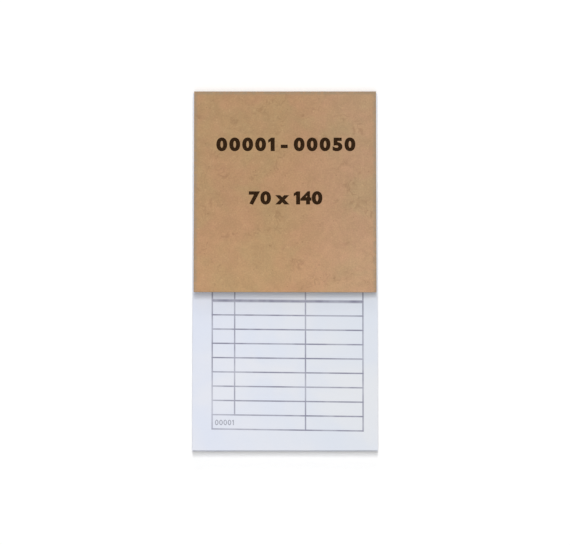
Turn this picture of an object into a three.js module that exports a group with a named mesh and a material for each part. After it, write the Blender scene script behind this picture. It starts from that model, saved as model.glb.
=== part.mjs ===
// Order pad: ruled leaves glued together at the head and wrapped in a kraft card cover.
// The card runs under the leaves, up over their glued ends, and forward as a short front flap.
//
// Units are millimetres. +X is across the pad, +Y points to the bound head, +Z is up.
// The origin is on the underside of the card, below the middle of the pad.

import * as THREE from 'three';

// Driving dimensions: the whole pad
const PAD_LENGTH = 140;          // foot of the leaves to the outside of the spine

// Driving dimensions: the leaves
const LEAF_COUNT = 50;
const LEAF_WIDTH = 71.4;
const LEAF_THICKNESS = 0.075;

// Driving dimensions: the binding
const GLUE_THICKNESS = 0.3;      // film between the leaves' ends and the spine
const GLUE_INSET = 0.15;         // the film stops this far inside each end of the spine

// Driving dimensions: the kraft card
const CARD_THICKNESS = 0.45;
const COVER_WIDTH = 70.6;
const BACK_MARGIN = 0.4;         // the back stops this far short of the leaves' foot
const FLAP_LENGTH = 79;          // outside of the fold to the free edge
const FLAP_FLAT_LENGTH = 18;     // stretch behind the fold that lies flat on the leaves
const FLAP_EDGE_RISE = 4;        // how far the free edge stands off the leaves

// Steps on each arc of the card's section
const ARC_STEPS = 12;

const KRAFT = { color: 0xba946e, roughness: 0.86, metalness: 0 };
const PAPER = { color: 0xe5e7ee, roughness: 0.8, metalness: 0 };
const GLUE = { color: 0xded8c4, roughness: 0.45, metalness: 0 };

// Places that follow from the dimensions
const HEAD = PAD_LENGTH / 2;
const FOOT = -PAD_LENGTH / 2;
const SPINE_INNER_FACE = HEAD - CARD_THICKNESS;
const LEAF_HEAD = SPINE_INNER_FACE - GLUE_THICKNESS;
const LEAF_LENGTH = LEAF_HEAD - FOOT;
const BLOCK_HEIGHT = LEAF_COUNT * LEAF_THICKNESS;
const BLOCK_TOP = CARD_THICKNESS + BLOCK_HEIGHT;

function namedMesh(name, geometry, look) {
  const mesh = new THREE.Mesh(geometry, new THREE.MeshStandardMaterial(look));
  mesh.name = name;
  return mesh;
}

// A piece of folded card: its section, drawn in the YZ plane, runs across the pad along X.
function cardPiece(name, section) {
  const geometry = new THREE.ExtrudeGeometry(section, {
    depth: COVER_WIDTH,
    curveSegments: ARC_STEPS,
    bevelEnabled: false,
  });
  geometry.translate(0, 0, -COVER_WIDTH / 2);
  const mesh = namedMesh(name, geometry, KRAFT);
  mesh.rotation.setFromRotationMatrix(
    new THREE.Matrix4().makeBasis(
      new THREE.Vector3(0, 1, 0),
      new THREE.Vector3(0, 0, 1),
      new THREE.Vector3(1, 0, 0),
    ),
  );
  return mesh;
}

// The back and the spine are one sheet of card, rounded where it is folded up at the head.
function coverBack() {
  const section = new THREE.Shape();
  section.moveTo(FOOT + BACK_MARGIN, 0);
  section.lineTo(SPINE_INNER_FACE, 0);
  section.absarc(SPINE_INNER_FACE, CARD_THICKNESS, CARD_THICKNESS, -Math.PI / 2, 0, false);
  section.lineTo(HEAD, BLOCK_TOP);
  section.lineTo(SPINE_INNER_FACE, BLOCK_TOP);
  section.lineTo(SPINE_INNER_FACE, CARD_THICKNESS);
  section.lineTo(FOOT + BACK_MARGIN, CARD_THICKNESS);
  section.closePath();
  return cardPiece('cover_back', section);
}

// The front flap starts at the top fold, lies flat for a stretch, and then springs up in one
// long arc, so that its free edge stands off the leaves.
function coverFlap() {
  const curlStart = HEAD - FLAP_FLAT_LENGTH;
  const curlRun = FLAP_LENGTH - FLAP_FLAT_LENGTH;
  const undersideRadius = (curlRun ** 2 + FLAP_EDGE_RISE ** 2) / (2 * FLAP_EDGE_RISE);
  const topRadius = undersideRadius - CARD_THICKNESS;
  const curlCentre = BLOCK_TOP + undersideRadius;
  const below = -Math.PI / 2;
  const edgeAngle = below - Math.asin(curlRun / undersideRadius);

  const section = new THREE.Shape();
  section.moveTo(HEAD, BLOCK_TOP);
  section.absarc(SPINE_INNER_FACE, BLOCK_TOP, CARD_THICKNESS, 0, Math.PI / 2, false);
  section.absarc(curlStart, curlCentre, topRadius, below, edgeAngle, true);
  section.absarc(curlStart, curlCentre, undersideRadius, edgeAngle, below, false);
  section.closePath();
  return cardPiece('cover_flap', section);
}

// The glue is a thin film over the cut ends of all the leaves, and holds them to the spine.
function bindingGlue() {
  const geometry = new THREE.BoxGeometry(
    COVER_WIDTH - 2 * GLUE_INSET,
    GLUE_THICKNESS,
    BLOCK_HEIGHT,
  );
  const film = namedMesh('binding_glue', geometry, GLUE);
  film.position.set(0, LEAF_HEAD + GLUE_THICKNESS / 2, BLOCK_HEIGHT / 2);
  return film;
}

// Leaf 1 is the top one, and each further leaf lies directly under the one before.
function leaf(number) {
  const geometry = new THREE.BoxGeometry(LEAF_WIDTH, LEAF_LENGTH, LEAF_THICKNESS);
  const sheet = namedMesh(`leaf_${String(number).padStart(2, '0')}`, geometry, PAPER);
  const height = BLOCK_HEIGHT - (number - 0.5) * LEAF_THICKNESS;
  sheet.position.set(0, (LEAF_HEAD + FOOT) / 2, height);
  return sheet;
}

// The block of leaves and its glue stand on the back card.
const block = new THREE.Group();
block.position.z = CARD_THICKNESS;
block.add(bindingGlue());
for (let number = 1; number <= LEAF_COUNT; number += 1) {
  block.add(leaf(number));
}

const cover = new THREE.Group();
cover.add(coverBack(), coverFlap());

const orderPad = new THREE.Group();
orderPad.add(cover, block);

export default orderPad;
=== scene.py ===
import math
import random

import bmesh
import bpy
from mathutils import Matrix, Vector


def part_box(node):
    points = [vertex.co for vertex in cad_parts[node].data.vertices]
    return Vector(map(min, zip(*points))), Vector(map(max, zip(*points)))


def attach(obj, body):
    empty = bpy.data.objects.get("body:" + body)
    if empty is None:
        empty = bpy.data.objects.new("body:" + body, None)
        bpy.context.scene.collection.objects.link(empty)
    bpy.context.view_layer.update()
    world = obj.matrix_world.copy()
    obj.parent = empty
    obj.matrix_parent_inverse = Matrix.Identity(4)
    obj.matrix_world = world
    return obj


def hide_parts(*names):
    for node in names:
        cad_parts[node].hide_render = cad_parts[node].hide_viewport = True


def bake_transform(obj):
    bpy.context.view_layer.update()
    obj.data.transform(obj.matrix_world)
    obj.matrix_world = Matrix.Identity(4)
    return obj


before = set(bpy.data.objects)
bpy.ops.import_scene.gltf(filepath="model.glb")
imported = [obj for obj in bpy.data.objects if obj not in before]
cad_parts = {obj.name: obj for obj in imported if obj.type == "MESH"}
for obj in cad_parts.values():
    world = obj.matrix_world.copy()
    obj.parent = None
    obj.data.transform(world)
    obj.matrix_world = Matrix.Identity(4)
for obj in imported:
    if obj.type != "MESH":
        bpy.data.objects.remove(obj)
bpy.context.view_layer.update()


# Cover back and spine
# One sheet of uncoated brown kraft card lies under the leaves and is folded up behind their
# glued ends. The front flap carries on from the spine's top end.

MM = 0.001
back_low, back_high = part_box("cover_back")
head = back_high.y
block_top = back_high.z
half_cover = back_high.x

# The lowest leaf lies on the back card, so its underside is one card's thickness up.
card_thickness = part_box("leaf_50")[0].z

# Each sheet has a map of itself as if it lay flat. There its inner side and its cut edges lie
# this far from its outer side, in metres, so that no two of them share a place.
INNER_SHIFT = 0.5
EDGE_SHIFT = 1.0

# Edges that turn by more than this are sharp, and are rounded off in so many steps.
SHARP_ANGLE = math.radians(50)
ROUNDING_STEPS = 2


def spread(first, last, steps):
    """Evenly spaced values from first to last, with both ends."""
    return [first + (last - first) * i / steps for i in range(steps + 1)]


def closed_sheet(name, outer, inner, along, edge_shift=EDGE_SHIFT):
    """A closed mesh between two grids of points, whose rows lie at the distances in along.

    The map "layout" gives each corner its place on the sheet as if it lay flat, in metres.
    """
    rows = len(outer)
    columns = len(outer[0])

    def corner(side, row, column):
        return (side * rows + row) * columns + column

    faces = []
    shifts = []
    for row in range(rows - 1):
        for column in range(columns - 1):
            ring = [(row, column), (row, column + 1), (row + 1, column + 1), (row + 1, column)]
            faces.append([corner(0, *place) for place in ring])
            faces.append([corner(1, *place) for place in reversed(ring)])
            shifts += [0.0, INNER_SHIFT]
    rim = [(0, column) for column in range(columns)]
    rim += [(row, columns - 1) for row in range(1, rows)]
    rim += [(rows - 1, column) for column in reversed(range(columns - 1))]
    rim += [(row, 0) for row in reversed(range(1, rows - 1))]
    for here, there in zip(rim, rim[1:] + rim[:1]):
        faces.append([corner(0, *there), corner(0, *here), corner(1, *here), corner(1, *there)])
        shifts.append(edge_shift)

    mesh = bpy.data.meshes.new(name)
    mesh.from_pydata([p for side in (outer, inner) for row in side for p in row], [], faces)
    layout = mesh.uv_layers.new(name="layout")
    for face, shift in zip(mesh.polygons, shifts):
        for loop in face.loop_indices:
            index = mesh.loops[loop].vertex_index
            side, row = divmod(index // columns, rows)
            across = mesh.vertices[index].co.x
            depth = side * card_thickness if shift == edge_shift else 0.0
            layout.data[loop].uv = (across + shift + depth, along[row])
    piece = bpy.data.objects.new(name, mesh)
    bpy.context.scene.collection.objects.link(piece)
    return piece


def soften(piece, width):
    """Rounds the piece's sharp edges, turns its faces outward and shades it smooth."""
    shape = bmesh.new()
    shape.from_mesh(piece.data)
    bmesh.ops.recalc_face_normals(shape, faces=shape.faces)
    if width:
        edges = [e for e in shape.edges if e.calc_face_angle(0) > SHARP_ANGLE]
        bmesh.ops.bevel(
            shape, geom=edges, offset=width, segments=ROUNDING_STEPS, profile=0.5,
            affect="EDGES", clamp_overlap=True,
        )
    shape.to_mesh(piece.data)
    shape.free()
    piece.data.shade_smooth()
    piece.data.set_sharp_from_angle(angle=SHARP_ANGLE)


def add(tree, kind, inputs, **settings):
    """Adds a shader node. An input is linked when its value is another node's output."""
    made = tree.nodes.new(kind)
    for key, value in settings.items():
        setattr(made, key, value)
    for key, value in inputs.items():
        if isinstance(value, bpy.types.NodeSocket):
            tree.links.new(value, made.inputs[key])
        else:
            made.inputs[key].default_value = value
    return made


def maths(tree, operation, *values, clamp=False):
    """The result of one sum on sockets or numbers."""
    made = add(tree, "ShaderNodeMath", dict(enumerate(values)), operation=operation)
    made.use_clamp = clamp
    return made.outputs[0]


def ramp(tree, value, low, high, out_low=0.0, out_high=1.0):
    """value, taken from low..high to out_low..out_high along a smooth step."""
    inputs = {"Value": value, 1: low, 2: high, 3: out_low, 4: out_high}
    return add(tree, "ShaderNodeMapRange", inputs, interpolation_type="SMOOTHSTEP").outputs[0]


def tint(tree, share, first, second):
    """A colour that goes from first to second as share goes from 0 to 1."""
    made = add(tree, "ShaderNodeMix", {0: share, 6: first, 7: second}, data_type="RGBA")
    return made.outputs[2]


def shaded(tree, colour, factors):
    """The colour times a factor for each channel."""
    made = add(tree, "ShaderNodeVectorMath", {0: colour, 1: factors}, operation="MULTIPLY")
    return made.outputs[0]


def scaled(tree, vector, factor):
    """The place or colour times one number."""
    made = add(tree, "ShaderNodeVectorMath", {0: vector, "Scale": factor}, operation="SCALE")
    return made.outputs[0]


def axes_of(tree, place):
    """The distances of a place across and along its sheet."""
    return add(tree, "ShaderNodeSeparateXYZ", {0: place}).outputs[:2]


def cloud(tree, place, scale, detail=2.0, roughness=0.5, warp=0.0):
    """Soft noise over the flat sheet, with scale in patches per millimetre."""
    inputs = {"Vector": place, "Scale": scale, "Detail": detail, "Roughness": roughness}
    inputs["Distortion"] = warp
    return add(tree, "ShaderNodeTexNoise", inputs, noise_dimensions="2D").outputs[0]


def patches(tree, place, scale, cut, out=(0.0, 1.0), **noise):
    """Soft noise with more contrast: what lies between the values in cut is spread over out."""
    return ramp(tree, cloud(tree, place, scale, **noise), *cut, *out)


def srgb(red, green, blue):
    """A colour given as 8-bit screen values, as a linear colour with alpha."""
    def linear(value):
        value = value / 255
        return value / 12.92 if value <= 0.04045 else ((value + 0.055) / 1.055) ** 2.4
    return (linear(red), linear(green), linear(blue), 1.0)


def new_group(name, inputs, outputs):
    """An empty shader node group: its tree, what it is given, and where its results go."""
    tree = bpy.data.node_groups.new(name, "ShaderNodeTree")
    for label, kind in inputs:
        tree.interface.new_socket(label, in_out="INPUT", socket_type=kind)
    for label, kind in outputs:
        tree.interface.new_socket(label, in_out="OUTPUT", socket_type=kind)
    given = tree.nodes.new("NodeGroupInput").outputs
    results = tree.nodes.new("NodeGroupOutput").inputs
    return tree, given, results


def new_material(name):
    """A material with a Principled shader. Returns the material, its tree and the shader."""
    material = bpy.data.materials.new(name)
    material.use_nodes = True
    return material, material.node_tree, material.node_tree.nodes["Principled BSDF"]


def place_on_sheet(tree):
    """Where a point lies on its flat sheet, in millimetres."""
    layout = add(tree, "ShaderNodeUVMap", {}, uv_map="layout").outputs[0]
    return scaled(tree, layout, 1 / MM)


# Pressed fibres show in both the card and the leaves: thin curly ridges, and a fine tooth.
TOOTH_SCALE = 4.5
TOOTH_HEIGHT = 0.7
FIBRE_HEIGHT = 0.3


def fibre_group():
    tree, given, out = new_group(
        "pressed_fibres",
        [
            ("Place", "NodeSocketVector"),
            ("Curl Scale", "NodeSocketFloat"),
            ("Width", "NodeSocketFloat"),
            ("Patch Scale", "NodeSocketFloat"),
        ],
        [("Fibres", "NodeSocketFloat"), ("Height", "NodeSocketFloat")],
    )
    curl = cloud(tree, given["Place"], given["Curl Scale"], detail=1.5, warp=0.6)
    off_ridge = maths(tree, "ABSOLUTE", maths(tree, "SUBTRACT", curl, 0.5))
    share_off = maths(tree, "DIVIDE", off_ridge, given["Width"])
    ridge = maths(tree, "SUBTRACT", 1.0, share_off, clamp=True)
    gathered = patches(tree, given["Place"], given["Patch Scale"], cut=(0.5, 0.64))
    fibres = maths(tree, "MULTIPLY", ridge, gathered)
    tooth = cloud(tree, given["Place"], TOOTH_SCALE, detail=3.0, roughness=0.6)
    tooth = maths(tree, "MULTIPLY", tooth, TOOTH_HEIGHT)
    height = maths(tree, "ADD", tooth, maths(tree, "MULTIPLY", fibres, FIBRE_HEIGHT))
    tree.links.new(fibres, out["Fibres"])
    tree.links.new(height, out["Height"])
    return tree


pressed_fibres = fibre_group()


def fibres_on(tree, place, curl_scale, width, patch_scale=0.55):
    """Places the pressed fibres group in a material. Scales are per millimetre."""
    inputs = {"Place": place, "Curl Scale": curl_scale, "Width": width, "Patch Scale": patch_scale}
    return add(tree, "ShaderNodeGroup", inputs, node_tree=pressed_fibres).outputs


KRAFT_PINK = srgb(181, 140, 105)
KRAFT_OLIVE = srgb(174, 142, 103)
KRAFT_MID = srgb(177, 141, 104)
KRAFT_LIGHT_FIBRE = srgb(212, 178, 134)
KRAFT_DARK_FLECK = srgb(122, 88, 62)
KRAFT_EDGE = srgb(158, 137, 112)
KRAFT_ROUGHNESS = (0.82, 0.93)
KRAFT_SHINE = 0.3
KRAFT_BUMP_DEPTH = 0.012 * MM

# How strongly each layer shows in the card
HAZE_STRENGTH = 0.5
MOTTLE_STRENGTH = 0.05
GRAIN_STRENGTH = 0.07
WISP_STRENGTH = 0.28
PALE_FIBRE_STRENGTH = 0.55
FINE_FIBRE_STRENGTH = 0.3
FLECK_STRENGTH = 0.38

# A fleck's outline strays by up to this many millimetres, in waves of so many per millimetre.
# Inside this share of its size it is dark all over.
FLECK_WANDER = 0.12
FLECK_WANDER_SCALE = 3.0
FLECK_CORE = 0.4

# Painted light: the flap is painted paler between these distances from the fold, where its curl
# turns up to the light. Painted sheen: the card is painted greyer and cooler between these
# distances to the right of its middle, and all over its inner side, whose map lies far to the
# right. Both in millimetres.
PAINTED_LIGHT_STRETCH = (38, 78)
PAINTED_LIGHT_GAIN = 1.1
PAINTED_SHEEN_STRETCH = (-4, 32)
PAINTED_SHEEN = (1.02, 1.065, 1.17, 1.0)

# Handling has rubbed the card from this far in, fully at the second distance, in millimetres.
RUBBED_SIDE = (1.8, 0.2)
RUBBED_FOLD = (1.8, 0.6)


def flecks(tree, place, cells, size, share_kept):
    """Scattered spots of a size in millimetres: one in each kept cell, with cells per millimetre."""
    inputs = {"Vector": place, "Scale": FLECK_WANDER_SCALE}
    wander = add(tree, "ShaderNodeTexNoise", inputs, noise_dimensions="2D").outputs["Color"]
    inputs = {0: FLECK_WANDER, 1: place, 2: wander}
    wandered = add(tree, "ShaderNodeMixRGB", inputs, blend_type="ADD").outputs[0]
    inputs = {"Vector": wandered, "Scale": cells}
    spots = add(tree, "ShaderNodeTexVoronoi", inputs, voronoi_dimensions="2D").outputs
    drawn = add(tree, "ShaderNodeSeparateColor", {0: spots["Color"]}).outputs[0]
    kept = maths(tree, "LESS_THAN", drawn, share_kept)
    near = ramp(tree, spots["Distance"], size * cells, size * cells * FLECK_CORE)
    return maths(tree, "MULTIPLY", near, kept)


def kraft_ground(tree, place, haze):
    """Pink and olive blotches under a haze, mottle and grain, painted light and a painted sheen."""
    across, along = axes_of(tree, place)
    blotch = patches(
        tree, place, scale=0.045, cut=(0.36, 0.64), detail=3.0, roughness=0.55, warp=0.4
    )
    colour = tint(tree, blotch, KRAFT_PINK, KRAFT_OLIVE)
    colour = tint(tree, maths(tree, "MULTIPLY", haze, HAZE_STRENGTH), colour, KRAFT_MID)

    mottle = patches(
        tree, place, scale=0.16, cut=(0.3, 0.7), out=(1 - MOTTLE_STRENGTH, 1 + MOTTLE_STRENGTH),
        detail=5.0, roughness=0.7, warp=0.6,
    )
    grain = patches(
        tree, place, scale=1.6, cut=(0.25, 0.75), out=(1 - GRAIN_STRENGTH, 1 + GRAIN_STRENGTH),
        detail=4.0, roughness=0.65,
    )
    # Painted light: paler towards the flap's free edge.
    painted_light = ramp(tree, along, *PAINTED_LIGHT_STRETCH, 1.0, PAINTED_LIGHT_GAIN)
    shade = maths(tree, "MULTIPLY", maths(tree, "MULTIPLY", grain, mottle), painted_light)
    # Painted sheen: greyer and cooler towards the right of the card.
    painted_sheen = tint(tree, ramp(tree, across, *PAINTED_SHEEN_STRETCH), (1, 1, 1, 1), PAINTED_SHEEN)
    return shaded(tree, scaled(tree, colour, shade), painted_sheen)


def kraft_marks(tree, place, colour, fine):
    """Long dark wisps, pale fibres and dark flecks, pressed into the card."""
    wisps = fibres_on(tree, place, curl_scale=0.3, width=0.1, patch_scale=0.17)["Fibres"]
    scattered = patches(tree, place, scale=0.1, cut=(0.42, 0.6), out=(0.0, WISP_STRENGTH))
    colour = tint(tree, maths(tree, "MULTIPLY", wisps, scattered), colour, KRAFT_DARK_FLECK)
    pale = fibres_on(tree, place, curl_scale=0.9, width=0.012)["Fibres"]
    pale = maths(tree, "MULTIPLY", pale, PALE_FIBRE_STRENGTH)
    colour = tint(tree, pale, colour, KRAFT_LIGHT_FIBRE)
    fine = maths(tree, "MULTIPLY", fine, FINE_FIBRE_STRENGTH)
    colour = tint(tree, fine, colour, KRAFT_LIGHT_FIBRE)
    large = flecks(tree, place, cells=0.16, size=0.32, share_kept=0.3)
    small = flecks(tree, place, cells=0.7, size=0.1, share_kept=0.2)
    dark = maths(tree, "MULTIPLY", maths(tree, "MAXIMUM", large, small), FLECK_STRENGTH)
    return tint(tree, dark, colour, KRAFT_DARK_FLECK)


def kraft_wear(tree, place, colour):
    """Greyer card along the handled sides and over the top fold, worn in patches."""
    across, along = axes_of(tree, place)
    from_side = maths(tree, "SUBTRACT", half_cover / MM, maths(tree, "ABSOLUTE", across))
    from_fold = maths(tree, "ABSOLUTE", along)
    rubbed = maths(
        tree, "MAXIMUM", ramp(tree, from_side, *RUBBED_SIDE), ramp(tree, from_fold, *RUBBED_FOLD)
    )
    in_patches = patches(tree, place, scale=0.8, cut=(0.35, 0.6), out=(0.35, 0.9))
    return tint(tree, maths(tree, "MULTIPLY", rubbed, in_patches), colour, KRAFT_EDGE)


def kraft_material():
    material, tree, shader = new_material("kraft_card")
    place = place_on_sheet(tree)
    haze = patches(tree, place, scale=0.22, cut=(0.3, 0.7), detail=4.0, roughness=0.6)
    fine = fibres_on(tree, place, curl_scale=2.6, width=0.02)
    colour = kraft_ground(tree, place, haze)
    colour = kraft_marks(tree, place, colour, fine["Fibres"])
    colour = kraft_wear(tree, place, colour)
    tree.links.new(colour, shader.inputs["Base Color"])
    tree.links.new(ramp(tree, haze, 0.0, 1.0, *KRAFT_ROUGHNESS), shader.inputs["Roughness"])
    shader.inputs["Specular IOR Level"].default_value = KRAFT_SHINE
    bump = add(tree, "ShaderNodeBump", {"Distance": KRAFT_BUMP_DEPTH, "Height": fine["Height"]})
    tree.links.new(bump.outputs[0], shader.inputs["Normal"])
    return material


kraft_card = kraft_material()

FOLD_INNER_RADIUS = 0.05 * MM
SPINE_END_RISE = 0.34 * MM
SPINE_END_INSET = 0.05 * MM
SPINE_END_TURNS = (20, 40, 60, 75, 86)
CARD_ROUNDING = 0.06 * MM
COVER_COLUMNS = 24
BACK_ROWS = 40
FOLD_ROWS = 8
SPINE_ROWS = 6


def cover_back():
    """The back, the rear fold, the spine and the spine's rounded top end, as one sheet."""
    outer_radius = card_thickness + FOLD_INNER_RADIUS
    fold_y = head - outer_radius
    middle = card_thickness / 2

    # The path runs in the middle of the card. Each step is a point (y, z) and the way outward.
    path = [((y, middle), (0, -1)) for y in spread(back_low.y, fold_y, BACK_ROWS)]
    for turn in spread(0, math.pi / 2, FOLD_ROWS)[1:]:
        outward = (math.sin(turn), -math.cos(turn))
        reach = outer_radius - middle
        path.append(((fold_y + reach * outward[0], outer_radius + reach * outward[1]), outward))
    for z in spread(outer_radius, block_top, SPINE_ROWS)[1:]:
        path.append(((head - middle, z), (1, 0)))
    half = [middle] * len(path)
    for turn in SPINE_END_TURNS:
        angle = math.radians(turn)
        path.append(((head - middle, block_top + SPINE_END_RISE * math.sin(angle)), (1, 0)))
        half.append(middle * math.cos(angle))

    along = [0.0]
    for (here, _), (there, _) in zip(path, path[1:]):
        along.append(along[-1] + math.dist(here, there))
    along = [step - along[-1] for step in along]

    def side(sign):
        grid = []
        for ((y, z), out), thick in zip(path, half):
            place = (y + sign * thick * out[0], z + sign * thick * out[1])
            inset = SPINE_END_INSET if place[1] > block_top else 0.0
            ends = half_cover - inset
            grid.append([Vector((x, *place)) for x in spread(-ends, ends, COVER_COLUMNS)])
        return grid

    piece = closed_sheet("cover_back_card", side(1), side(-1), along)
    soften(piece, CARD_ROUNDING)
    piece.data.materials.append(kraft_card)
    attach(piece, "root")
    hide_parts("cover_back")


cover_back()


# Binding glue
# A film of padding glue covers the cut ends of all the leaves and holds them to the spine.
# It is brushed on and dries clear and slightly yellow, with a wavy skin at both ends.

glue_low, glue_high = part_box("binding_glue")
GLUE_ROWS = 14
GLUE_COLUMNS = 40
GLUE_END_STRAY = (-0.22 * MM, 0.11 * MM)
GLUE_ROUNDING = 0.04 * MM
GLUE_COLOUR = srgb(221, 209, 176)
GLUE_PALE_STREAK = srgb(236, 229, 208)
GLUE_ROUGHNESS = (0.28, 0.5)
GLUE_BUMP_DEPTH = 0.02 * MM


def glue_material():
    material, tree, shader = new_material("padding_glue")
    place = place_on_sheet(tree)
    streaks = cloud(tree, place, scale=1.4, detail=3.0)
    colour = tint(tree, streaks, GLUE_COLOUR, GLUE_PALE_STREAK)
    tree.links.new(colour, shader.inputs["Base Color"])
    tree.links.new(ramp(tree, streaks, 0.3, 0.7, *GLUE_ROUGHNESS), shader.inputs["Roughness"])
    bump = add(tree, "ShaderNodeBump", {"Distance": GLUE_BUMP_DEPTH, "Height": streaks})
    tree.links.new(bump.outputs[0], shader.inputs["Normal"])
    return material


def binding_glue():
    draws = random.Random(11)
    heights = spread(glue_low.z, glue_high.z, GLUE_ROWS)
    left_stray = [draws.uniform(*GLUE_END_STRAY) for _ in heights]
    right_stray = [draws.uniform(*GLUE_END_STRAY) for _ in heights]

    def side(y):
        grid = []
        for row, z in enumerate(heights):
            left = glue_low.x - left_stray[row]
            right = glue_high.x + right_stray[row]
            grid.append([Vector((x, y, z)) for x in spread(left, right, GLUE_COLUMNS)])
        return grid

    piece = closed_sheet("glue_film", side(glue_low.y), side(glue_high.y), heights)
    soften(piece, GLUE_ROUNDING)
    piece.data.materials.append(glue_material())
    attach(piece, "root")
    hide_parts("binding_glue")


binding_glue()


# Leaves
# Fifty leaves of thin bluish white writing paper, each printed on its face with a grid for
# orders and with its own number. They are trimmed together, so their edges stray by little
# more than a tenth of a millimetre.

leaf_low, leaf_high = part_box("leaf_01")
leaf_count = sum(name.startswith("leaf_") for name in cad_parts)
leaf_length = leaf_high.y - leaf_low.y
half_leaf = leaf_high.x

# The printed grid, in millimetres from the middle of the pad
COLUMN_LINES = (-28.14, 7.88, 30.08)
SHORT_COLUMN_LINE = -19.48
HEAD_LINE = -11.95
ROW_PITCH = 5.56
ROW_COUNT = 9
WRITE_IN_LINES = (3.0, 13.0, 23.0, 33.0)
LINE_WIDTH = 0.52
HEAD_LINE_WIDTH = 1.15

# A line's ink thins out between these shares of its width, measured from its middle.
LINE_CORE = 0.3
LINE_END = 0.7

# The print is a little askew. Halfway along the pad, a row falls by the first of these for each
# millimetre to the right. Each millimetre towards the head changes that by the second.
PRINT_SKEW = 0.0072
PRINT_SKEW_GAIN = -0.00011

# How much ink lies on the lines. It is thinner in patches, and near the lower left corner,
# where the places across and along the pad add up to between these, in millimetres.
UPRIGHT_INK = 0.88
HEAD_LINE_INK = 0.85
THIN_INK = 0.66
CORNER_STRETCH = (-90, -50)
CORNER_INK = 0.7

PAPER_WHITE = srgb(226, 228, 236)
PAPER_COOL = srgb(221, 226, 239)
PAPER_EDGE = srgb(222, 223, 229)
PAPER_FIBRE = srgb(205, 205, 210)
PAPER_FIBRE_STRENGTH = 0.12
# Painted light: the leaves are painted a little brighter on the left and a little darker and less
# blue on the right.
PAPER_LEFT_PAINTED_LIGHT = (1.013, 1.013, 1.013, 1.0)
PAPER_RIGHT_PAINTED_SHADE = (0.99, 0.995, 0.965, 1.0)
PAPER_ROUGHNESS = (0.72, 0.84)
PAPER_SHINE = 0.35
PAPER_BUMP_DEPTH = 0.006 * MM
LINE_INK = srgb(130, 130, 150)
NUMBER_INK = srgb(160, 163, 175)


def grid_group():
    """Where ink lies on a leaf: the order grid, and blank write-in lines above it."""
    tree, given, out = new_group(
        "printed_grid", [("Place", "NodeSocketVector")], [("Ink", "NodeSocketFloat")]
    )
    x, along = axes_of(tree, given["Place"])
    skew = maths(tree, "MULTIPLY_ADD", along, PRINT_SKEW_GAIN, PRINT_SKEW)
    y = maths(tree, "MULTIPLY_ADD", x, skew, along)

    def line(value, place, width=LINE_WIDTH):
        off = maths(tree, "ABSOLUTE", maths(tree, "SUBTRACT", value, place))
        return ramp(tree, off, width * LINE_END, width * LINE_CORE)

    def within(value, low, high):
        above = maths(tree, "GREATER_THAN", value, low - LINE_WIDTH / 2)
        below = maths(tree, "LESS_THAN", value, high + LINE_WIDTH / 2)
        return maths(tree, "MULTIPLY", above, below)

    def join(masks):
        joined = masks[0]
        for mask in masks[1:]:
            joined = maths(tree, "MAXIMUM", joined, mask)
        return joined

    top_line = HEAD_LINE + ROW_PITCH
    foot_line = HEAD_LINE - ROW_PITCH * ROW_COUNT
    long_columns = join([line(x, place) for place in COLUMN_LINES])
    long_columns = maths(tree, "MULTIPLY", long_columns, within(y, foot_line, top_line))
    short_column = line(x, SHORT_COLUMN_LINE)
    short_column = maths(tree, "MULTIPLY", short_column, within(y, foot_line + ROW_PITCH, top_line))
    columns = maths(tree, "MULTIPLY", join([long_columns, short_column]), UPRIGHT_INK)

    rows = [line(y, HEAD_LINE - ROW_PITCH * i) for i in range(-1, ROW_COUNT + 1)]
    rows.append(maths(tree, "MULTIPLY", line(y, HEAD_LINE, HEAD_LINE_WIDTH), HEAD_LINE_INK))
    rows += [line(y, place) for place in WRITE_IN_LINES]
    rows = maths(tree, "MULTIPLY", join(rows), within(x, COLUMN_LINES[0], COLUMN_LINES[-1]))

    patchy = patches(
        tree, given["Place"], scale=0.08, cut=(0.3, 0.66), out=(THIN_INK, 1.0),
        detail=3.0, roughness=0.6,
    )
    off_corner = ramp(tree, maths(tree, "ADD", x, along), *CORNER_STRETCH, CORNER_INK, 1.0)
    coverage = maths(tree, "MULTIPLY", patchy, off_corner)
    tree.links.new(maths(tree, "MULTIPLY", join([columns, rows]), coverage), out["Ink"])
    return tree


def leaf_material():
    material, tree, shader = new_material("leaf_paper")
    place = place_on_sheet(tree)
    across = axes_of(tree, place)[0]
    ink = add(tree, "ShaderNodeGroup", {"Place": place}, node_tree=grid_group()).outputs["Ink"]

    tone = patches(tree, place, scale=0.03, cut=(0.35, 0.65), detail=3.0, warp=0.3)
    colour = tint(tree, tone, PAPER_WHITE, PAPER_COOL)
    # Painted light across the leaf: brighter on the left, darker and less blue towards the right.
    painted_light_across = ramp(tree, across, -half_leaf / MM, half_leaf / MM)
    colour = shaded(tree, colour, tint(tree, painted_light_across, PAPER_LEFT_PAINTED_LIGHT, PAPER_RIGHT_PAINTED_SHADE))
    fibres = fibres_on(tree, place, curl_scale=2.2, width=0.02)
    pressed = maths(tree, "MULTIPLY", fibres["Fibres"], PAPER_FIBRE_STRENGTH)
    colour = tint(tree, pressed, colour, PAPER_FIBRE)
    on_edge = maths(tree, "GREATER_THAN", across, (INNER_SHIFT + half_leaf * 2) / MM)
    strip = patches(tree, place, scale=0.05, cut=(0.35, 0.65))
    colour = tint(tree, on_edge, colour, tint(tree, strip, PAPER_EDGE, PAPER_WHITE))
    colour = tint(tree, ink, colour, LINE_INK)

    tree.links.new(colour, shader.inputs["Base Color"])
    tree.links.new(ramp(tree, tone, 0.0, 1.0, *PAPER_ROUGHNESS), shader.inputs["Roughness"])
    shader.inputs["Specular IOR Level"].default_value = PAPER_SHINE
    bump = add(tree, "ShaderNodeBump", {"Distance": PAPER_BUMP_DEPTH, "Height": fibres["Height"]})
    tree.links.new(bump.outputs[0], shader.inputs["Normal"])
    return material


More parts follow.
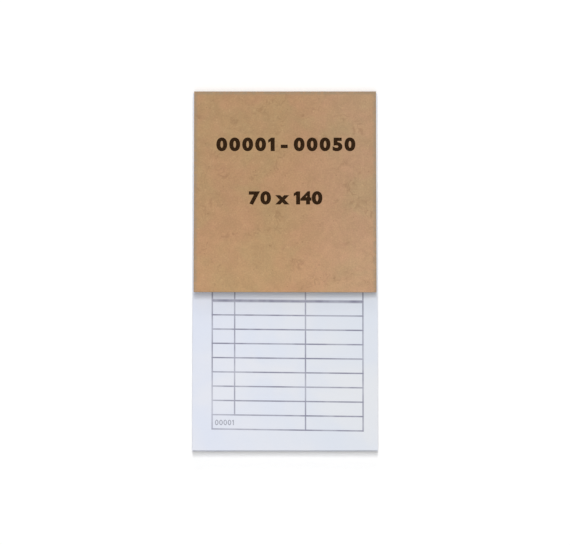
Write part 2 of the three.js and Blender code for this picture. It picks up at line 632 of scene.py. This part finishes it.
leaf_paper = leaf_material()

# The top leaf lifts towards its foot, most at the corners and by this share of that in the
# middle, with a shallow wave, whose phase is in radians. Each leaf below lifts less than the
# one above, and after LIFT_FADE leaves nearly two thirds of the lift is gone.
CORNER_LIFT = 0.45 * MM
MIDDLE_SHARE = 0.25
WAVE_LIFT = 0.14 * MM
WAVE_START = 2.3
WAVE_ALONG = 5
WAVE_ACROSS = 1.7
LIFT_FADE = 7.0

# How far a leaf strays at most: aside at its foot, short of the foot, and aside as a whole from
# this share of what the leaf above it strays.
TRIM_SKEW = 0.09 * MM
TRIM_SHORT = 0.144 * MM
TRIM_SLIDE = 0.045 * MM
SLIDE_KEPT = 0.6

# A lifted leaf bends next to the glue, so its rows are closer together there. The steps are
# those across the leaf and those along the rest of it.
BEND_LENGTH = 9 * MM
CLOSE_ROWS_LENGTH = 1.3 * BEND_LENGTH
WELL_SEEN_LEAVES = 2
WELL_SEEN_STEPS = (16, 30)
LEAF_STEPS = (6, 14)

# On their maps, the cut edges of one leaf and the next lie this far apart, in metres.
LEAF_EDGE_STEP = 0.05


def lift(x, away):
    """How far the top leaf stands off its flat place, at x and at a share of its length."""
    across = x / half_leaf
    corner = CORNER_LIFT * away ** 4 * (MIDDLE_SHARE + (1 - MIDDLE_SHARE) * across ** 2)
    wave = 0.5 + 0.5 * math.sin(WAVE_START + WAVE_ALONG * away + WAVE_ACROSS * across)
    return corner + WAVE_LIFT * away ** 2 * wave


def lift_share(number):
    """The share of the top leaf's lift that a leaf still has."""
    return math.exp(-(number - 1) / LIFT_FADE)


def leaf_sheet(number, slide, skew, short):
    """One leaf. slide, skew and short are how far its trimmed edges stray."""
    node = f"leaf_{number:02d}"
    low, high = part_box(node)
    columns, wide_rows = WELL_SEEN_STEPS if number <= WELL_SEEN_LEAVES else LEAF_STEPS
    close_rows_start = high.y - CLOSE_ROWS_LENGTH
    rows = spread(low.y + short, close_rows_start, wide_rows)
    rows += spread(close_rows_start, high.y, 2 * columns)[1:]

    def side(z):
        grid = []
        for y in rows:
            away = (high.y - y) / leaf_length
            shift = slide + skew * away
            grid.append([
                Vector((x + shift, y, z + lift_share(number) * lift(x, away)))
                for x in spread(-half_leaf, half_leaf, columns)
            ])
        return grid

    edge_shift = EDGE_SHIFT + number * LEAF_EDGE_STEP
    piece = closed_sheet(f"{node}_sheet", side(high.z), side(low.z), rows, edge_shift)
    soften(piece, 0)
    piece.data.materials.append(leaf_paper)
    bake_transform(piece)
    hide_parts(node)


# Figures are drawn in the font's own units, in which spaces, gaps and boldness are given too,
# and are then scaled together to their real height.
SPACE_WIDTH = 0.2
NUMBER_GAP = 0.1
NUMBER_BOLDNESS = 0.012
NUMBER_HEIGHT = 2.1 * MM
NUMBER_INK_HEIGHT = 0.005 * MM
NUMBER_X = -23.4 * MM
NUMBER_Y = -59.1 * MM
PRINT_ROUGHNESS = 0.9
PRINT_SHINE = 0.05


def glyph(character, boldness):
    """The corners and faces of one character, from z = 0 up to z = 1, with its left side at 0."""
    font = bpy.data.curves.new("glyph", "FONT")
    font.body = character
    font.offset = boldness
    font.extrude = 0.5
    drawn = bpy.data.objects.new("glyph", font)
    bpy.context.scene.collection.objects.link(drawn)
    bpy.context.view_layer.update()
    seen = drawn.evaluated_get(bpy.context.evaluated_depsgraph_get())
    mesh = bpy.data.meshes.new_from_object(seen)
    bpy.data.objects.remove(drawn)
    left = min(v.co.x for v in mesh.vertices)
    corners = [(v.co.x - left, v.co.y, v.co.z + 0.5) for v in mesh.vertices]
    return corners, [tuple(face.vertices) for face in mesh.polygons]


def figure_one(boldness):
    """A 1 with a flag, drawn by its outline, because the font's own 1 is a plain bar."""
    stem = 0.098 + 2 * boldness
    low = -boldness
    high = 0.682 + boldness
    flag_reach = 0.125
    flag_top = high - 0.135
    flag_foot = flag_top - 0.8 * stem
    flag_root = flag_foot + 0.08
    peak = flag_reach + 0.15 * stem
    outline = [
        (flag_reach, low),
        (flag_reach + stem, low),
        (flag_reach + stem, high),
        (peak, high),
        (0.0, flag_top),
        (0.0, flag_foot),
        (flag_reach, flag_root),
    ]
    count = len(outline)
    corners = [(x, y, z) for z in (0.0, 1.0) for x, y in outline]
    faces = [tuple(reversed(range(count))), tuple(range(count, 2 * count))]
    for here in range(count):
        there = (here + 1) % count
        faces.append((here, there, there + count, here + count))
    return corners, faces


def figures(characters, boldness):
    """The glyphs of these characters and of 1, by character."""
    drawn = {character: glyph(character, boldness) for character in characters}
    drawn["1"] = figure_one(boldness)
    return drawn


def written(name, characters, height, glyphs, gap, widened=1.0):
    """A line of characters of this height as a mesh that is centred on its own origin."""
    corners = []
    faces = []
    pen = 0.0
    for character in characters:
        if character == " ":
            pen += SPACE_WIDTH
            continue
        own_corners, own_faces = glyphs[character]
        faces += [[len(corners) + index for index in face] for face in own_faces]
        corners += [(x + pen, y, z) for x, y, z in own_corners]
        pen = max(x for x, _, _ in corners) + gap
    middle = (pen - gap) / 2
    low = min(y for _, y, _ in corners)
    high = max(y for _, y, _ in corners)
    scale = height / (high - low)
    mesh = bpy.data.meshes.new(name)
    mesh.from_pydata(
        [((x - middle) * scale * widened, (y - (low + high) / 2) * scale, z) for x, y, z in corners],
        [], faces,
    )
    piece = bpy.data.objects.new(name, mesh)
    bpy.context.scene.collection.objects.link(piece)
    return piece


def ink_material(name, ink, ground, most_worn):
    """Printing ink that lets the sheet below show a little where it is worn."""
    material, tree, shader = new_material(name)
    place = scaled(tree, add(tree, "ShaderNodeTexCoord", {}).outputs["Object"], 1 / MM)
    worn = patches(
        tree, place, scale=2.4, cut=(0.5, 0.75), out=(0.0, most_worn), detail=4.0, roughness=0.7
    )
    tree.links.new(tint(tree, worn, ink, ground), shader.inputs["Base Color"])
    shader.inputs["Roughness"].default_value = PRINT_ROUGHNESS
    shader.inputs["Specular IOR Level"].default_value = PRINT_SHINE
    return material


number_ink = ink_material("number_ink", NUMBER_INK, PAPER_WHITE, most_worn=0.6)


def leaf_number(number, slide, glyphs):
    """The leaf's own number, printed small in the last cell of the grid."""
    node = f"leaf_{number:02d}"
    piece = written(f"{node}_number", f"{number:05d}", NUMBER_HEIGHT, glyphs, NUMBER_GAP)
    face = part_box(node)[1].z
    for v in piece.data.vertices:
        x = NUMBER_X + v.co.x
        y = NUMBER_Y + v.co.y
        lifted = lift_share(number) * lift(x, (leaf_high.y - y) / leaf_length)
        v.co = (x + slide, y, face + (lifted + v.co.z * NUMBER_INK_HEIGHT))
    piece.data.materials.append(number_ink)
    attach(piece, node)


def leaves():
    thin = figures("023456789", NUMBER_BOLDNESS)
    draws = random.Random(5)
    slide = 0.0
    for number in range(1, leaf_count + 1):
        skew = draws.uniform(-TRIM_SKEW, TRIM_SKEW)
        short = draws.uniform(0, TRIM_SHORT)
        leaf_sheet(number, slide, skew, short)
        leaf_number(number, slide, thin)
        slide = SLIDE_KEPT * slide + draws.uniform(-TRIM_SLIDE, TRIM_SLIDE)


leaves()


# Front flap
# The flap is the rest of the kraft card. It lies flat behind the top fold and springs up
# towards its free edge, a little more on the left than on the right.

flap_low, flap_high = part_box("cover_flap")
FLAP_FLAT_LENGTH = 18 * MM
SIDE_TWIST = 0.12
FLAP_BEND_LENGTH = 2.2 * MM
BEND_ROWS_LENGTH = 1.1 * FLAP_BEND_LENGTH
FLAP_ROUNDING = 0.07 * MM
CURL_ROWS = 60
FLAT_ROWS = 12
BEND_ROWS = 22
TOP_FOLD_TURNS = (15, 30, 45, 60, 75, 87)
curl_start = head - FLAP_FLAT_LENGTH
curl_run = curl_start - flap_low.y
curl_rise = flap_high.z - block_top - card_thickness
curl_radius = (curl_run ** 2 + curl_rise ** 2) / (2 * curl_rise)


def flap_section(y):
    """The underside's height above the leaves and its slope angle, at a place along the pad."""
    run = max(0.0, curl_start - y)
    angle = math.asin(run / curl_radius)
    return curl_radius * (1 - math.cos(angle)), angle


def flap_point(x, y, above):
    """A point of the flap, above its underside by a distance square to the card."""
    rise, angle = flap_section(y)
    twist = 1 - SIDE_TWIST * x / half_cover
    height = block_top + rise * twist + above * math.cos(angle)
    return Vector((x, y + above * math.sin(angle), height))


def cover_flap():
    fold_centre = head - card_thickness
    bend_rows_start = head - BEND_ROWS_LENGTH
    rows = spread(flap_low.y, curl_start, CURL_ROWS)
    rows += spread(curl_start, bend_rows_start, FLAT_ROWS)[1:]
    rows += spread(bend_rows_start, fold_centre, BEND_ROWS)[1:]
    columns = spread(-half_cover, half_cover, COVER_COLUMNS)
    outer = [[flap_point(x, y, card_thickness) for x in columns] for y in rows]
    inner = [[flap_point(x, y, 0.0) for x in columns] for y in rows]
    along = [head - y for y in rows]
    for turn in TOP_FOLD_TURNS:
        angle = math.radians(turn)
        y = fold_centre + card_thickness * math.sin(angle)
        z = block_top + card_thickness * math.cos(angle)
        outer.append([Vector((x, y, z)) for x in columns])
        inner.append([Vector((x, y, block_top)) for x in columns])
        along.append(head - y)
    piece = closed_sheet("cover_flap_card", outer, inner, along)
    soften(piece, FLAP_ROUNDING)
    piece.data.materials.append(kraft_card)
    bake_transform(piece)
    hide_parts("cover_flap")


cover_flap()


# Numbers on the flap
# Two lines of plain bold numbers are printed on the card in dark brown ink: the numbers of
# the first and last leaf, and the pad's size in millimetres.

# Each line: its piece, its characters, its middle across and along the pad, and its letter gap
NUMBER_LINES = (
    ("upper_numbers", "00001 - 00050", 0.3 * MM, 49.2 * MM, 0.105),
    ("lower_numbers", "70 x 140", 0.2 * MM, 28.1 * MM, 0.015),
)
COVER_NUMBER_HEIGHT = 5.4 * MM
COVER_NUMBER_WIDENING = 1.15
COVER_NUMBER_BOLDNESS = 0.055
COVER_INK = srgb(42, 26, 12)
COVER_INK_HEIGHT = 0.012 * MM
cover_ink = ink_material("cover_ink", COVER_INK, KRAFT_MID, most_worn=0.15)


def cover_numbers():
    bold = figures("04578x-", COVER_NUMBER_BOLDNESS)
    for name, characters, x, y, gap in NUMBER_LINES:
        piece = written(name, characters, COVER_NUMBER_HEIGHT, bold, gap, COVER_NUMBER_WIDENING)
        for v in piece.data.vertices:
            above = card_thickness + v.co.z * COVER_INK_HEIGHT
            v.co = flap_point(x + v.co.x, y + v.co.y, above)
        piece.data.materials.append(cover_ink)
        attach(piece, "flap")


cover_numbers()


# Floor, light and camera
# The pad lies on a plain white floor and is seen from above, tilted a little towards its foot.
# Soft light comes from all round, and strip lights hang in a row from the foot side, over the
# pad, to the head side.

SKY_LIGHT = 0.3

# Each strip light: its angle from overhead towards the head, in degrees, and how much it
# lights a level sheet. With the sky they add up to 1, which shows a colour as it is written.
STRIP_LIGHTS = ((-25, 0.07), (-10, 0.18), (9, 0.16), (23, 0.25), (60, 0.04))
STRIP_SPREAD = math.radians(14)
FLOOR_WHITE = 0.75
FLOOR_SEEN_WHITE = 1.03
FLOOR_ROUGHNESS = 0.9
FLOOR_SIZE = 6000 * MM

# The picture is this wide at the height of the top leaf, and its middle is at this place there.
FRAME_WIDTH = 220.5 * MM
VIEW_X = -0.03 * MM
VIEW_Y = -0.8 * MM
VIEW_TILT = math.radians(7)
LENS = 400.0
SENSOR = 36.0


def seen_directly(tree):
    """1 for what the camera sees, straight or in a reflection or through glass, else 0."""
    path = add(tree, "ShaderNodeLightPath", {}).outputs
    seen = maths(tree, "MAXIMUM", path["Is Camera Ray"], path["Is Glossy Ray"])
    return maths(tree, "MAXIMUM", seen, path["Is Transmission Ray"])


def floor():
    bpy.ops.mesh.primitive_plane_add(size=FLOOR_SIZE, location=(0, 0, 0))
    plane = bpy.context.object
    plane.name = "floor"
    material, tree, shader = new_material("white_floor")
    white = [(level, level, level, 1) for level in (FLOOR_WHITE, FLOOR_SEEN_WHITE)]
    tree.links.new(tint(tree, seen_directly(tree), *white), shader.inputs["Base Color"])
    shader.inputs["Roughness"].default_value = FLOOR_ROUGHNESS
    shader.inputs["Specular IOR Level"].default_value = 0.0
    plane.data.materials.append(material)


def lights():
    world = bpy.data.worlds.new("studio")
    bpy.context.scene.world = world
    world.use_nodes = True
    tree = world.node_tree
    background = tree.nodes["Background"]
    background.inputs["Color"].default_value = (1, 1, 1, 1)
    shown = maths(tree, "MULTIPLY", seen_directly(tree), 1 - SKY_LIGHT)
    tree.links.new(maths(tree, "ADD", SKY_LIGHT, shown), background.inputs["Strength"])
    for degrees, brightness in STRIP_LIGHTS:
        tilt = math.radians(degrees)
        sun = bpy.data.lights.new("strip_light", "SUN")
        sun.energy = math.pi * brightness / math.cos(tilt)
        sun.angle = STRIP_SPREAD
        lamp = bpy.data.objects.new(sun.name, sun)
        lamp.rotation_euler = (-tilt, 0, 0)
        bpy.context.scene.collection.objects.link(lamp)


def camera():
    data = bpy.data.cameras.new("above")
    data.lens = LENS
    data.sensor_width = SENSOR
    seen_from = bpy.data.objects.new("above", data)
    distance = FRAME_WIDTH * LENS / SENSOR
    back = distance * math.sin(VIEW_TILT)
    up = distance * math.cos(VIEW_TILT)
    seen_from.location = (VIEW_X, VIEW_Y - back, block_top + up)
    seen_from.rotation_euler = (VIEW_TILT, 0, 0)
    bpy.context.scene.collection.objects.link(seen_from)
    bpy.context.scene.camera = seen_from


floor()
lights()
camera()
bpy.context.scene.view_settings.view_transform = "Standard"
